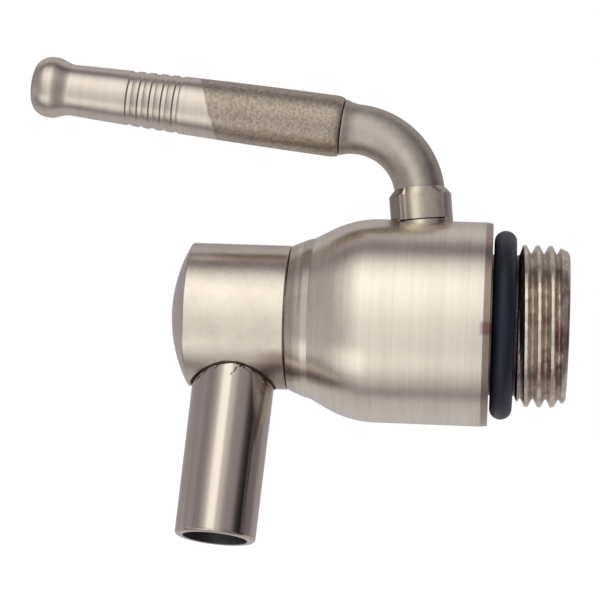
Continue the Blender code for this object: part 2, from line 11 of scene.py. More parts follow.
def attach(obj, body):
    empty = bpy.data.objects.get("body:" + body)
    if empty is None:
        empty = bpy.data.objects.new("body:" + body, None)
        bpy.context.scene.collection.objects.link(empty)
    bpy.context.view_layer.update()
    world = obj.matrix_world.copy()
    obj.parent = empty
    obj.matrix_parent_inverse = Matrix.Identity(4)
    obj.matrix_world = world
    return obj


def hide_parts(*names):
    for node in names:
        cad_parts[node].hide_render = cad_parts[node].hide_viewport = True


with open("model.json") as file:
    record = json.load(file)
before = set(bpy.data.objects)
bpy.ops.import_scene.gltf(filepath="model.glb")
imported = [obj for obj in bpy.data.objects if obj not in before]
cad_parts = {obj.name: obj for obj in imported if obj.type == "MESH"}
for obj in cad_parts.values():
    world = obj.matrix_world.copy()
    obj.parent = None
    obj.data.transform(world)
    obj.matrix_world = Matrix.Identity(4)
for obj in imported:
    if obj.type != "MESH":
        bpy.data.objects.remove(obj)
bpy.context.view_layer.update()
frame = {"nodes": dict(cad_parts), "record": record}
MM = 0.001

# ---------------------------------------------------------------- camera

TARGET = Vector((-27.66, 0.0, 2.59)) * MM
CAMERA_DISTANCE = 304.4 * MM
CAMERA_YAW = 5.3
CAMERA_ELEVATION = -2.5
CAMERA_ROLL = 2.19
CAMERA_LENS = 127.5
SENSOR_WIDTH = 36.0
CLIP_NEAR = 0.01
CLIP_FAR = 20.0


def make_camera():
    data = bpy.data.cameras.new("camera")
    data.lens = CAMERA_LENS
    data.sensor_width = SENSOR_WIDTH
    data.clip_start = CLIP_NEAR
    data.clip_end = CLIP_FAR
    camera = bpy.data.objects.new("camera", data)
    bpy.context.scene.collection.objects.link(camera)
    yaw = math.radians(CAMERA_YAW)
    lift = math.radians(CAMERA_ELEVATION)
    back = Vector(
        (math.sin(yaw) * math.cos(lift), -math.cos(yaw) * math.cos(lift), math.sin(lift))
    )
    turn = (-back).to_track_quat("-Z", "Y").to_matrix().to_4x4()
    roll = Matrix.Rotation(math.radians(CAMERA_ROLL), 4, "Z")
    camera.matrix_world = Matrix.Translation(TARGET + back * CAMERA_DISTANCE) @ turn @ roll
    bpy.context.scene.camera = camera


make_camera()

# ---------------------------------------------------------------- frames of the parts

BORE = Matrix.Rotation(math.radians(90.0), 4, "Y")  # local Z along world +X
STEM_X = -9.05
STEM_LEAN = math.radians(-6.2)
STEM = Matrix.Translation((STEM_X * MM, 0.0, 0.0)) @ Matrix.Rotation(STEM_LEAN, 4, "Y")
BEND_START = 18.57
BEND_RADIUS = 10.0
BEND_ANGLE = math.radians(77.5)
ROD_STRAIGHT = 2.61
GRIP = (
    STEM
    @ Matrix.Translation(
        Vector(
            (
                BEND_RADIUS * (math.cos(BEND_ANGLE) - 1.0) - ROD_STRAIGHT * math.sin(BEND_ANGLE),
                0.0,
                BEND_START
                + BEND_RADIUS * math.sin(BEND_ANGLE)
                + ROD_STRAIGHT * math.cos(BEND_ANGLE),
            )
        )
        * MM
    )
    @ Matrix.Rotation(-BEND_ANGLE, 4, "Y")
)
SPOUT_SPIN = math.radians(-14.0)
SPOUT_TURN = Matrix.Rotation(SPOUT_SPIN, 4, "X")
SPOUT = SPOUT_TURN @ BORE
TUBE_X = -36.0
TUBE_LEAN = math.radians(2.8)
TUBE = (
    SPOUT_TURN
    @ Matrix.Translation((TUBE_X * MM, 0.0, 0.0))
    @ Matrix.Rotation(TUBE_LEAN, 4, "Y")
)

# ---------------------------------------------------------------- mesh helpers

SHARP_ANGLE = 32.0  # degrees between faces past which an edge is hard
AXIS_RADIUS = 1e-6  # a profile point nearer the axis than this is one vertex
FILLET_STEPS = 4
FILLET_SHARE = 0.45  # the most of a side that one fillet may take
CUTTER_SIDES = 96


def piece(name, mesh, matrix, body, replaced, material):
    made = bpy.data.objects.new(name, mesh)
    bpy.context.scene.collection.objects.link(made)
    made.matrix_world = matrix
    mesh.materials.append(material)
    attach(made, body)
    if replaced:
        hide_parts(*replaced)
    return made


def fillets(points):
    """Rounds the corners of a profile of (radius, height) or (radius, height, fillet) points."""
    out = []
    count = len(points)
    for i, point in enumerate(points):
        size = point[2] if len(point) > 2 else 0.0
        here = Vector(point[:2])
        if size <= 0.0 or i in (0, count - 1):
            out.append((here.x, here.y))
            continue
        before = Vector(points[i - 1][:2]) - here
        after = Vector(points[i + 1][:2]) - here
        size = min(size, FILLET_SHARE * before.length, FILLET_SHARE * after.length)
        start = here + before.normalized() * size
        end = here + after.normalized() * size
        for k in range(FILLET_STEPS + 1):
            t = k / FILLET_STEPS
            spot = start * (1 - t) ** 2 + here * 2 * t * (1 - t) + end * t**2
            out.append((spot.x, spot.y))
    return out


def lathe(name, profile, steps, closed=False, radius=None, sharp=SHARP_ANGLE):
    """Turns a profile in mm about local Z; radius(r, z, angle) may shape it round the axis."""
    shape = bmesh.new()
    rows = []
    for r, z in profile:
        if r < AXIS_RADIUS:
            rows.append([shape.verts.new((0.0, 0.0, z * MM))])
            continue
        row = []
        for k in range(steps):
            angle = math.tau * k / steps
            size = radius(r, z, angle) if radius else r
            spot = (size * math.cos(angle) * MM, size * math.sin(angle) * MM, z * MM)
            row.append(shape.verts.new(spot))
        rows.append(row)
    pairs = list(zip(rows, rows[1:]))
    if closed:
        pairs.append((rows[-1], rows[0]))
    for a, b in pairs:
        for k in range(steps):
            n = (k + 1) % steps
            if len(a) == 1 and len(b) == 1:
                continue
            if len(a) == 1:
                shape.faces.new((a[0], b[k], b[n]))
            elif len(b) == 1:
                shape.faces.new((a[k], b[0], a[n]))
            else:
                shape.faces.new((a[k], b[k], b[n], a[n]))
    bmesh.ops.recalc_face_normals(shape, faces=shape.faces)
    return to_mesh(name, shape, sharp)


def to_mesh(name, shape, sharp):
    mesh = bpy.data.meshes.new(name)
    shape.to_mesh(mesh)
    shape.free()
    mesh.polygons.foreach_set("use_smooth", [True] * len(mesh.polygons))
    mesh.set_sharp_from_angle(angle=math.radians(sharp))
    return mesh


def sweep(name, stations, sides):
    """A tube through (centre, normal, binormal, radius) stations, with flat end caps."""
    shape = bmesh.new()
    rows = []
    for centre, across, up, radius in stations:
        row = []
        for k in range(sides):
            angle = math.tau * k / sides
            spot = centre + (across * math.cos(angle) + up * math.sin(angle)) * radius
            row.append(shape.verts.new(spot * MM))
        rows.append(row)
    for a, b in zip(rows, rows[1:]):
        for k in range(sides):
            n = (k + 1) % sides
            shape.faces.new((a[k], a[n], b[n], b[k]))
    shape.faces.new(rows[0])
    shape.faces.new(rows[-1][::-1])
    bmesh.ops.recalc_face_normals(shape, faces=shape.faces)
    return to_mesh(name, shape, SHARP_ANGLE)


def cut_with_cylinder(target, matrix, radius, low, high):
    """Bores a round hole along local Z of matrix, from low to high in mm."""
    outline = [(0.0, low), (radius, low), (radius, high), (0.0, high)]
    cutter = bpy.data.objects.new("cutter", lathe("cutter", outline, CUTTER_SIDES))
    bpy.context.scene.collection.objects.link(cutter)
    cutter.matrix_world = matrix
    bpy.context.view_layer.update()
    modifier = target.modifiers.new("bore", "BOOLEAN")
    modifier.operation = "DIFFERENCE"
    modifier.solver = "EXACT"
    modifier.object = cutter
    graph = bpy.context.evaluated_depsgraph_get()
    mesh = bpy.data.meshes.new_from_object(target.evaluated_get(graph))
    target.modifiers.clear()
    old = target.data
    target.data = mesh
    mesh.name = old.name
    bpy.data.objects.remove(cutter, do_unlink=True)
    mesh.polygons.foreach_set("use_smooth", [True] * len(mesh.polygons))
    mesh.set_sharp_from_angle(angle=math.radians(SHARP_ANGLE))


# ---------------------------------------------------------------- node helpers


class Graph:
    """Short calls for building a node tree."""

    def __init__(self, tree):
        self.nodes = tree.nodes
        self.links = tree.links

    def add(self, kind, **values):
        node = self.nodes.new(kind)
        for key, value in values.items():
            setattr(node, key, value)
        return node

    def put(self, socket, value):
        if isinstance(value, bpy.types.NodeSocket):
            self.links.new(value, socket)
        elif value is not None:
            socket.default_value = value

    def math(self, operation, a, b=None, c=None, clamp=False):
        node = self.add("ShaderNodeMath", operation=operation, use_clamp=clamp)
        for socket, value in zip(node.inputs, (a, b, c)):
            self.put(socket, value)
        return node.outputs[0]

    def vector(self, operation, a, b=None):
        node = self.add("ShaderNodeVectorMath", operation=operation)
        self.put(node.inputs[0], a)
        self.put(node.inputs[1], b)
        return node.outputs["Value"] if operation == "DOT_PRODUCT" else node.outputs[0]

    def span(self, value, low, high, to_low=0.0, to_high=1.0, smooth=True):
        kind = "SMOOTHSTEP" if smooth else "LINEAR"
        node = self.add("ShaderNodeMapRange", interpolation_type=kind)
        for socket, given in zip(node.inputs, (value, low, high, to_low, to_high)):
            self.put(socket, given)
        return node.outputs[0]

    def noise(self, vector, scale, detail=4.0, rough=0.55, distortion=0.0):
        node = self.add("ShaderNodeTexNoise")
        self.put(node.inputs["Vector"], vector)
        node.inputs["Scale"].default_value = scale
        node.inputs["Detail"].default_value = detail
        node.inputs["Roughness"].default_value = rough
        node.inputs["Distortion"].default_value = distortion
        return node.outputs["Fac"]

    def scaled(self, vector, scale):
        return self.vector("MULTIPLY", vector, scale)

    def mix(self, factor, a, b):
        node = self.add("ShaderNodeMix", data_type="RGBA")
        self.put(node.inputs["Factor"], factor)
        self.put(node.inputs["A"], a if isinstance(a, bpy.types.NodeSocket) else (*a, 1.0))
        self.put(node.inputs["B"], b if isinstance(b, bpy.types.NodeSocket) else (*b, 1.0))
        return node.outputs["Result"]

    def blend(self, factor, a, b):
        node = self.add("ShaderNodeMix", data_type="FLOAT")
        for socket, value in zip(node.inputs, (factor, None, a, b)):
            self.put(socket, value)
        return node.outputs[0]

    def level(self, value, stops):
        """A grey level by position, with stops up to 2.0."""
        node = self.add("ShaderNodeValToRGB")
        elements = node.color_ramp.elements
        elements.remove(elements[1])
        elements[0].color = (0.5 * stops[0][1],) * 3 + (1.0,)
        for place, grey in stops[1:]:
            elements.new(place).color = (0.5 * grey,) * 3 + (1.0,)
        self.put(node.inputs[0], value)
        return self.math("MULTIPLY", node.outputs["Color"], 2.0)

    def bump(self, height, strength, distance, normal=None):
        node = self.add("ShaderNodeBump")
        node.inputs["Strength"].default_value = strength
        node.inputs["Distance"].default_value = distance * MM
        self.put(node.inputs["Height"], height)
        self.put(node.inputs["Normal"], normal)
        return node.outputs["Normal"]


def new_material(name):
    made = bpy.data.materials.new(name)
    made.use_nodes = True
    graph = Graph(made.node_tree)
    shader = made.node_tree.nodes["Principled BSDF"]
    place = graph.add("ShaderNodeTexCoord").outputs["Object"]
    return made, graph, shader, place


ROUND = (160.0, 160.0, 6200.0)  # lines that run round local Z
LONG = (3600.0, 3600.0, 30.0)  # lines that run along local Z


def even(scale):
    """Grain with no direction."""
    return (scale, scale, scale)


WIDE_STREAKS = 0.22  # scale of the broad streaks against the fine lines
CLOUD_SCALE = 190.0
GRAIN_SCALE = 2600.0
BRUSH_TURN = 0.25  # the highlight spreads across the brushing


def steel(
    name,
    light,
    dark,
    roughness,
    lines,
    line_bump,
    tint,
    spread=0.0,
    tone=None,
    dull=None,
    dull_roughness=0.6,
):
    """Stainless steel with brushing along lines, cloudy handling marks and fine pits.

    A smaller tint gives more contrast between light and dark. spread stretches the highlights.
    tone(g, place, color) stains the colour and paints shade into it, and dull(g, place) masks
    where dull_roughness holds.
    """
    made, g, shader, place = new_material(name)
    brush = g.noise(g.scaled(place, lines), 1.0, 3.0, 0.6)
    wide = tuple(v * WIDE_STREAKS for v in lines)
    streak = g.noise(g.scaled(place, wide), 1.0, 2.0, 0.5)
    cloud = g.noise(place, CLOUD_SCALE, 5.0, 0.6, 0.4)
    grain = g.noise(place, GRAIN_SCALE, 2.0, 0.5)
    shade = g.math("ADD", g.math("MULTIPLY", streak, 0.55), g.math("MULTIPLY", cloud, 0.45))
    shade = g.math("ADD", shade, g.math("MULTIPLY", g.math("SUBTRACT", brush, 0.5), 0.5))
    shade = g.span(shade, 0.5 - tint, 0.5 + tint, smooth=False)
    color = g.mix(shade, dark, light)
    g.put(shader.inputs["Base Color"], tone(g, place, color) if tone else color)
    rough = g.math("ADD", g.math("MULTIPLY", g.math("SUBTRACT", cloud, 0.5), 0.16), roughness)
    rough = g.math("ADD", rough, g.math("MULTIPLY", g.math("SUBTRACT", brush, 0.5), 0.12))
    if dull:
        rough = g.blend(dull(g, place), rough, dull_roughness)
    g.put(shader.inputs["Roughness"], rough)
    shader.inputs["Metallic"].default_value = 1.0
    normal = g.bump(grain, 0.12, 0.01)
    normal = g.bump(brush, line_bump, 0.012, normal)
    g.put(shader.inputs["Normal"], normal)
    if spread > 0.0:
        shader.inputs["Anisotropic"].default_value = spread
        shader.inputs["Anisotropic Rotation"].default_value = BRUSH_TURN
        tangent = g.add("ShaderNodeTangent", direction_type="RADIAL", axis="Z")
        g.put(shader.inputs["Tangent"], tangent.outputs[0])
    return made


def rubber(name):
    made, g, shader, place = new_material(name)
    cloud = g.noise(place, 260.0, 4.0, 0.6)
    fine = g.noise(place, 2400.0, 3.0, 0.6)
    g.put(shader.inputs["Base Color"], g.mix(cloud, (0.004, 0.005, 0.013), (0.009, 0.011, 0.024)))
    g.put(shader.inputs["Roughness"], g.span(cloud, 0.3, 0.7, 0.34, 0.5))
    shader.inputs["Specular IOR Level"].default_value = 0.3
    g.put(shader.inputs["Normal"], g.bump(fine, 0.25, 0.02))
    return made


def seat_plastic(name):
    made, g, shader, place = new_material(name)
    cloud = g.noise(place, 300.0, 4.0, 0.6)
    g.put(shader.inputs["Base Color"], g.mix(cloud, (0.72, 0.71, 0.66), (0.84, 0.83, 0.79)))
    g.put(shader.inputs["Roughness"], g.span(cloud, 0.3, 0.7, 0.34, 0.48))
    shader.inputs["Subsurface Weight"].default_value = 0.1
    g.put(shader.inputs["Normal"], g.bump(g.noise(place, 1800.0), 0.1, 0.02))
    return made


def darkened(g, color, mask, share):
    """Multiplies a colour by share where the mask is 1."""
    return g.vector("MULTIPLY", color, g.mix(mask, (1.0, 1.0, 1.0), share))


def apart(g, place):
    """The three coordinates, and the distance from local Z."""
    parts = g.add("ShaderNodeSeparateXYZ")
    g.put(parts.inputs[0], place)
    x, y, z = parts.outputs
    away = g.math("SQRT", g.math("ADD", g.math("MULTIPLY", x, x), g.math("MULTIPLY", y, y)))
    return x, y, z, away


def between(g, value, low, high, soft):
    """1 from low to high, fading over soft at both ends; all in mm."""
    rise = g.span(value, (low - soft) * MM, low * MM)
    return g.math("MULTIPLY", rise, g.span(value, (high + soft) * MM, high * MM))


# Stains and painted shade multiply the steel's colour. Bands lie along local Z of the piece, in
# mm.
SHANK_BAND = (2.4, 2.9)
VALLEY_DEPTH = (11.42, 10.9)  # radii where the thread's valleys begin and are full
# Painted shade in the thread's valleys.
VALLEY_SHADE = (0.88, 0.87, 0.9)
PATCH_TINT = (0.78, 0.65, 0.7)
CLOUD_TINT = (0.82, 0.81, 0.78)
RELIEF_BAND = (3.75, 3.45)
# Painted shade and painted reflection of the black O-ring in the relief groove.
RELIEF_SHADE = (0.14, 0.12, 0.13)
LAND_BAND = (-26.9, -25.6)
# Painted shade on the neck's land, on one side.
LAND_SHADE = (0.74, 0.72, 0.72)
RIM_BAND = (-27.0, -28.0)
# Painted shade on the neck cone beside the gap to the head.
RIM_SHADE = (0.74, 0.7, 0.7)
BEVEL_BAND = (-1.3, 0.1)
# Painted shade on the bevel by the O-ring.
BEVEL_SHADE = (0.54, 0.48, 0.48)
# A painted dark reflection on the bevel's front.
PLUM_BAND = (-1.5, 0.1)
PLUM_ACROSS = (0.4, 1.6)
PLUM_REFLECTION = (0.68, 0.5, 0.57)
# Painted shade and reflection of the tube on the head beside the weld.
TUBE_SHADE_BAND = (-33.5, -30.5)
TUBE_SHADE_DEPTH = (6.4, 7.8)
TUBE_SHADE_TINT = (0.62, 0.54, 0.54)
STAIN_EDGE = (19.5, 19.2)
STAIN_SLANT = -0.41
STAIN_WANDER = 0.7
STAIN_DARK = (0.58, 0.55, 0.51)
STAIN_LIGHT = (0.95, 0.92, 0.87)
BORE_EDGE = (4.62, 4.5)
# Painted shade inside the tube's bore.
BORE_SHADE_DARK = (0.05, 0.05, 0.052)
BORE_SHADE_LIGHT = (0.13, 0.125, 0.13)
# Painted shadow in the slit at the foot of the collar's flats.
SLIT_SHADE_BAND = (14.46, 14.66)
SLIT_SHADE_DEPTH = (4.3, 4.2)
SLIT_SHADE = (0.08, 0.07, 0.07)
# Painted shade on the collar's round sides, the left darker.
COLLAR_LEFT = (-2.1, -2.5)
COLLAR_LEFT_SHADE = (0.52, 0.5, 0.54)
COLLAR_RIGHT = (2.2, 2.6)
COLLAR_RIGHT_SHADE = (0.86, 0.85, 0.9)


def edge(g, value, band):
    """0 at the first end of the band and 1 at the second."""
    return g.span(value, band[0] * MM, band[1] * MM)


def body_tone(g, place, color):
    """Painted shade in the thread's valleys and relief, on the neck and on the bevel by the
    O-ring, a painted dark reflection on the bevel's front, and plum patches on the shank.
    """
    x, y, z, away = apart(g, place)
    shank = edge(g, z, SHANK_BAND)
    # Painted shade in the thread's valleys.
    valley = g.math("MULTIPLY", shank, edge(g, away, VALLEY_DEPTH))
    color = darkened(g, color, valley, VALLEY_SHADE)
    patch = g.span(g.noise(place, 330.0, 3.0, 0.6, 0.3), 0.52, 0.62)
    color = darkened(g, color, g.math("MULTIPLY", shank, patch), PATCH_TINT)
    cloud = g.noise(g.scaled(place, (1.0, 1.0, 0.6)), 520.0, 3.0, 0.6)
    color = darkened(g, color, g.math("MULTIPLY", shank, g.span(cloud, 0.6, 0.4)), CLOUD_TINT)
    # Painted shade and reflection of the O-ring in the relief groove.
    color = darkened(g, color, g.math("MULTIPLY", shank, edge(g, z, RELIEF_BAND)), RELIEF_SHADE)
    # Painted shade on the neck's land, on one side.
    land_shade = g.math("MULTIPLY", between(g, z, *LAND_BAND, 0.3), edge(g, x, (2.0, -3.0)))
    color = darkened(g, color, land_shade, LAND_SHADE)
    # Painted shade on the neck cone beside the gap to the head.
    color = darkened(g, color, edge(g, z, RIM_BAND), RIM_SHADE)
    # Painted shade on the bevel by the O-ring.
    color = darkened(g, color, between(g, z, *BEVEL_BAND, 0.15), BEVEL_SHADE)
    # A painted dark reflection on the bevel's front.
    plum_reflection = g.math("MULTIPLY", between(g, z, *PLUM_BAND, 0.5), between(g, x, *PLUM_ACROSS, 0.6))
    plum_reflection = g.math("MULTIPLY", plum_reflection, edge(g, y, (0.0, -5.0)))
    return darkened(g, color, plum_reflection, PLUM_REFLECTION)


def head_tone(g, place, color):
    """Painted shade and reflection of the tube beside the weld, on the side near the body."""
    x, _, z, _ = apart(g, place)
    # Painted shade and reflection of the tube.
    tube_shade = g.math("MULTIPLY", edge(g, z, TUBE_SHADE_BAND), edge(g, x, TUBE_SHADE_DEPTH))
    return darkened(g, color, tube_shade, TUBE_SHADE_TINT)


def grip_stain(g, place):
    """The end near the rod is stained; a slanting edge parts it from the polished end."""
    x, _, z, _ = apart(g, place)
    wander = g.math("SUBTRACT", g.noise(place, 420.0), 0.5)
    wander = g.math("MULTIPLY", wander, STAIN_WANDER * MM)
    height = g.math("ADD", g.math("MULTIPLY_ADD", x, STAIN_SLANT, z), wander)
    return edge(g, height, STAIN_EDGE)


def grip_tone(g, place, color):
    """Grainy brown over the stained end."""
    speck = g.span(g.noise(place, 2300.0, 3.0, 0.65), 0.3, 0.7)
    grain = g.mix(speck, STAIN_DARK, STAIN_LIGHT)
    return g.vector("MULTIPLY", color, g.mix(grip_stain(g, place), (1.0, 1.0, 1.0), grain))


def tube_inside(g, place):
    return edge(g, apart(g, place)[3], BORE_EDGE)


def tube_tone(g, place, color):
    """Dull, and darkened with painted shade, inside the bore."""
    # Painted shade inside the bore.
    bore_shade = g.mix(g.noise(place, 900.0, 3.0), BORE_SHADE_DARK, BORE_SHADE_LIGHT)
    return g.mix(tube_inside(g, place), color, bore_shade)


def collar_tone(g, place, color):
    """Painted shade: the round sides darker, the left one most, and a dark slit at the foot of
    the flats.
    """
    x, _, z, away = apart(g, place)
    # Painted shadow in the slit at the foot of the flats.
    slit = g.math("MULTIPLY", between(g, z, *SLIT_SHADE_BAND, 0.03), edge(g, away, SLIT_SHADE_DEPTH))
    color = darkened(g, color, slit, SLIT_SHADE)
    # Painted shade on the round sides, the left darker.
    color = darkened(g, color, edge(g, x, COLLAR_LEFT), COLLAR_LEFT_SHADE)
    return darkened(g, color, edge(g, x, COLLAR_RIGHT), COLLAR_RIGHT_SHADE)


BODY_STEEL = steel(
    "body_steel",
    light=(0.87, 0.81, 0.71),
    dark=(0.62, 0.56, 0.49),
    roughness=0.28,
    lines=ROUND,
    line_bump=0.35,
    tint=0.4,
    spread=0.75,
    tone=body_tone,
)
HEAD_STEEL = steel(
    "head_steel",
    light=(0.71, 0.65, 0.57),
    dark=(0.48, 0.43, 0.38),
    roughness=0.24,
    lines=even(1500.0),
    line_bump=0.5,
    tint=0.36,
    spread=0.4,
    tone=head_tone,
)
# The tube's steel is darker than the body's: painted shade.
TUBE_STEEL = steel(
    "tube_steel",
    light=(0.60, 0.54, 0.48),
    dark=(0.48, 0.42, 0.38),
    roughness=0.11,
    lines=LONG,
    line_bump=0.2,
    tint=0.4,
    tone=tube_tone,
    dull=tube_inside,
)
GRIP_STEEL = steel(
    "grip_steel",
    light=(0.72, 0.66, 0.59),
    dark=(0.50, 0.44, 0.39),
    roughness=0.3,
    lines=ROUND,
    line_bump=0.3,
    tint=0.4,
    spread=0.6,
    tone=grip_tone,
    dull=grip_stain,
    dull_roughness=0.46,
)
ROD_STEEL = steel(
    "rod_steel",
    light=(0.60, 0.55, 0.49),
    dark=(0.38, 0.34, 0.31),
    roughness=0.43,
    lines=even(1300.0),
    line_bump=1.0,
    tint=0.33,
)
COLLAR_STEEL = steel(
    "collar_steel",
    light=(0.64, 0.57, 0.47),
    dark=(0.46, 0.40, 0.34),
    roughness=0.28,
    lines=even(900.0),
    line_bump=1.2,
    tint=0.4,
    tone=collar_tone,
)
PLAIN_STEEL = steel(
    "plain_steel",
    light=(0.55, 0.51, 0.47),
    dark=(0.42, 0.38, 0.35),
    roughness=0.3,
    lines=even(900.0),
    line_bump=0.15,
    tint=0.5,
)
BALL_STEEL = steel(
    "ball_steel",
    light=(0.72, 0.71, 0.70),
    dark=(0.62, 0.61, 0.60),
    roughness=0.1,
    lines=even(900.0),
    line_bump=0.04,
    tint=0.5,
)
BLACK_RUBBER = rubber("seal_rubber")
WHITE_PTFE = seat_plastic("seat_ptfe")

# ---------------------------------------------------------------- valve body and shank

THREAD_PITCH = 1.814
THREAD_CREST = 11.455
THREAD_ROOT = 10.295
THREAD_ZERO = 3.17  # where a crest crosses the line at angle 0
THREAD_START = 3.0
THREAD_END = 10.429
THREAD_INSIDE = 9.0  # profile points nearer the axis than this belong to the bore
BLANK_RADIUS = 10.0  # what the thread fades in from
FADE_START = 3.3
FADE_LENGTH = 0.45
CREST_FLAT = 0.04
FLANK_SHARE = 0.74
ROUNDING = 0.3  # how far the flanks are rounded, 0 to 1
LEAD_START = 8.5  # the lead-in cone, and the steeper one that ends it
LEAD_SLOPE = 0.45
LEAD_END_START = 10.15
LEAD_END_SLOPE = 0.5


def thread_radius(r, z, angle):
    """Outside of the shank: a right-hand helix with rounded crests, fading in past the relief."""
    if r < THREAD_INSIDE or z < THREAD_START or z > THREAD_END:
        return r
    phase = ((z - THREAD_ZERO) / THREAD_PITCH - angle / math.tau) % 1.0
    rise = abs(2.0 * phase - 1.0)
    rise = min(1.0, max(0.0, (rise - CREST_FLAT) / FLANK_SHARE))
    rise = (1.0 - ROUNDING) * rise + ROUNDING * rise * rise * (3.0 - 2.0 * rise)
    crest = THREAD_ROOT + (THREAD_CREST - THREAD_ROOT) * rise
    start = min(1.0, max(0.0, (z - FADE_START) / FADE_LENGTH))
    shown = BLANK_RADIUS + (crest - BLANK_RADIUS) * start
    lead = LEAD_SLOPE * max(0.0, z - LEAD_START) + LEAD_END_SLOPE * max(0.0, z - LEAD_END_START)
    return min(shown, THREAD_CREST - lead)


SHANK_END = 10.43
THREAD_TOP = 10.428
THREAD_ROWS = 150
BODY_RADIUS = 14.5
BODY_FRONT = -1.35  # where the bevel behind the cylinder ends
BODY_LENGTH = 14.9
BODY_ROWS = 12
SHOULDER_RADIUS = 14.8
SHOULDER_Z = -16.3
SHOULDER_SWEEP = 28.2
SHOULDER_ROWS = 16
NECK_END = -28.78
INLET_RADIUS = 6.0
CHAMBER_RADIUS = 8.6
CHAMBER_END = -1.6


def shoulder_point(degrees):
    angle = math.radians(degrees)
    inset = SHOULDER_RADIUS - BODY_RADIUS
    return (
        SHOULDER_RADIUS * math.cos(angle) - inset,
        SHOULDER_Z - SHOULDER_RADIUS * math.sin(angle),
    )


def body_profile():
    """Shank end, thread rows, O-ring seat, bevel, cylinder, shoulder, neck, then the inside."""
    outline = [(8.2, SHANK_END), (10.1, SHANK_END)]
    fall = THREAD_TOP - THREAD_START
    outline += [(10.3, THREAD_TOP - fall * i / THREAD_ROWS) for i in range(THREAD_ROWS + 1)]
    outline += [(10.0, 0.35), (10.0, -0.4), (14.3, -0.4), (14.38, -0.45)]
    outline.append((BODY_RADIUS, BODY_FRONT, 0.05))
    outline += [
        (BODY_RADIUS, BODY_FRONT - BODY_LENGTH * i / BODY_ROWS) for i in range(1, BODY_ROWS)
    ]
    outline += [
        shoulder_point(SHOULDER_SWEEP * i / SHOULDER_ROWS) for i in range(SHOULDER_ROWS + 1)
    ]
    outline += [(11.49, -25.6, 0.06), (11.24, -26.6, 0.12), (10.33, NECK_END, 0.12)]
    outline += [
        (CHAMBER_RADIUS, NECK_END),
        (CHAMBER_RADIUS, CHAMBER_END),
        (INLET_RADIUS, CHAMBER_END),
        (INLET_RADIUS, 10.2),
        (6.2, SHANK_END),
    ]
    return fillets(outline)


body = piece(
    "tap_body_shell",
    lathe("tap_body_shell", body_profile(), 200, closed=True, radius=thread_radius, sharp=30.0),
    BORE,
    "tap_body",
    ["valve_body"],
    BODY_STEEL,
)
COLLAR_POCKET = (4.65, 13.1, 19.3)  # radius, low, high
STEM_HOLE = (3.1, 6.0, 14.0)
cut_with_cylinder(body, STEM, *COLLAR_POCKET)
cut_with_cylinder(body, STEM, *STEM_HOLE)


RING_RADIUS = 11.9
RING_SECTION = 1.5
RING_HEIGHT = 1.4
RING_SQUASH = 1.06
RING_SIDES = 24


def o_ring(name):
    outline = []
    for k in range(RING_SIDES):
        angle = math.tau * k / RING_SIDES
        out = RING_RADIUS + RING_SECTION * math.cos(angle)
        up = RING_HEIGHT + RING_SQUASH * RING_SECTION * math.sin(angle)
        outline.append((out, up))
    return lathe(name, outline, 120, closed=True, sharp=80.0)


piece(
    "shank_o_ring",
    o_ring("shank_o_ring"),
    BORE,
    "tap_body",
    ["shank_seal_ring"],
    BLACK_RUBBER,
)

# ---------------------------------------------------------------- spout head, tube and weld

HEAD_RADIUS = 10.3
HEAD_EDGE = -43.1  # where the dome begins
HEAD_BACK = -29.0
HEAD_FLOOR = -42.0
HEAD_CHAMBER = 6.8
SPIGOT_RADIUS = 8.35
SPIGOT_BORE = 5.6
SPIGOT_END = -20.3
DOME_RADIUS = 20.64
DOME_ROWS = 14


def head_profile():
    """The dome, the cylinder with rings that hold its shading, then the spigot and the inside."""
    half = math.asin(HEAD_RADIUS / DOME_RADIUS)
    centre = HEAD_EDGE + DOME_RADIUS * math.cos(half)
    outline = []
    for i in range(DOME_ROWS - 1):
        angle = half * i / DOME_ROWS
        outline.append((DOME_RADIUS * math.sin(angle), centre - DOME_RADIUS * math.cos(angle)))
    outline.append((HEAD_RADIUS - 0.06, HEAD_EDGE - 0.02))
    outline += [(HEAD_RADIUS, z) for z in (-42.98, -42.9, -38.0, -33.0, -29.2, -29.12)]
    return outline + [
        (10.2, HEAD_BACK),
        (SPIGOT_RADIUS, HEAD_BACK),
        (SPIGOT_RADIUS, SPIGOT_END),
        (SPIGOT_BORE, SPIGOT_END),
        (SPIGOT_BORE, -28.78),
        (HEAD_CHAMBER, -29.78),
        (HEAD_CHAMBER, HEAD_FLOOR),
        (0.0, HEAD_FLOOR),
    ]


head = piece(
    "spout_head_shell",
    lathe("spout_head_shell", head_profile(), 160, sharp=30.0),
    SPOUT,
    "spout",
    ["spout_head"],
    HEAD_STEEL,
)
TUBE_HOLE = (5.9, -13.0, -3.4)  # radius, low, high
cut_with_cylinder(head, TUBE, *TUBE_HOLE)

TUBE_RADIUS = 5.83
MOUTH_RADIUS = 5.68
TUBE_TOP = -7.2
TUBE_END = -32.4
TUBE_TAPER_LENGTH = 24.4
TUBE_BORE = 4.48
MOUTH_ROUND = 0.5
MOUTH_ROWS = 8


def tube_profile():
    outline = [(TUBE_BORE, TUBE_TOP), (TUBE_RADIUS, TUBE_TOP)]
    for t in (0.25, 0.5, 0.75):
        r = TUBE_RADIUS - (TUBE_RADIUS - MOUTH_RADIUS) * t
        outline.append((r, TUBE_TOP - TUBE_TAPER_LENGTH * t))
    for i in range(MOUTH_ROWS + 1):
        a = math.radians(90.0 * i / MOUTH_ROWS)
        r = MOUTH_RADIUS - MOUTH_ROUND + MOUTH_ROUND * math.cos(a)
        outline.append((r, TUBE_END + MOUTH_ROUND - MOUTH_ROUND * math.sin(a)))
    outline += [(4.62, TUBE_END), (4.53, -32.36), (TUBE_BORE, -32.25), (TUBE_BORE, -20.0)]
    return outline


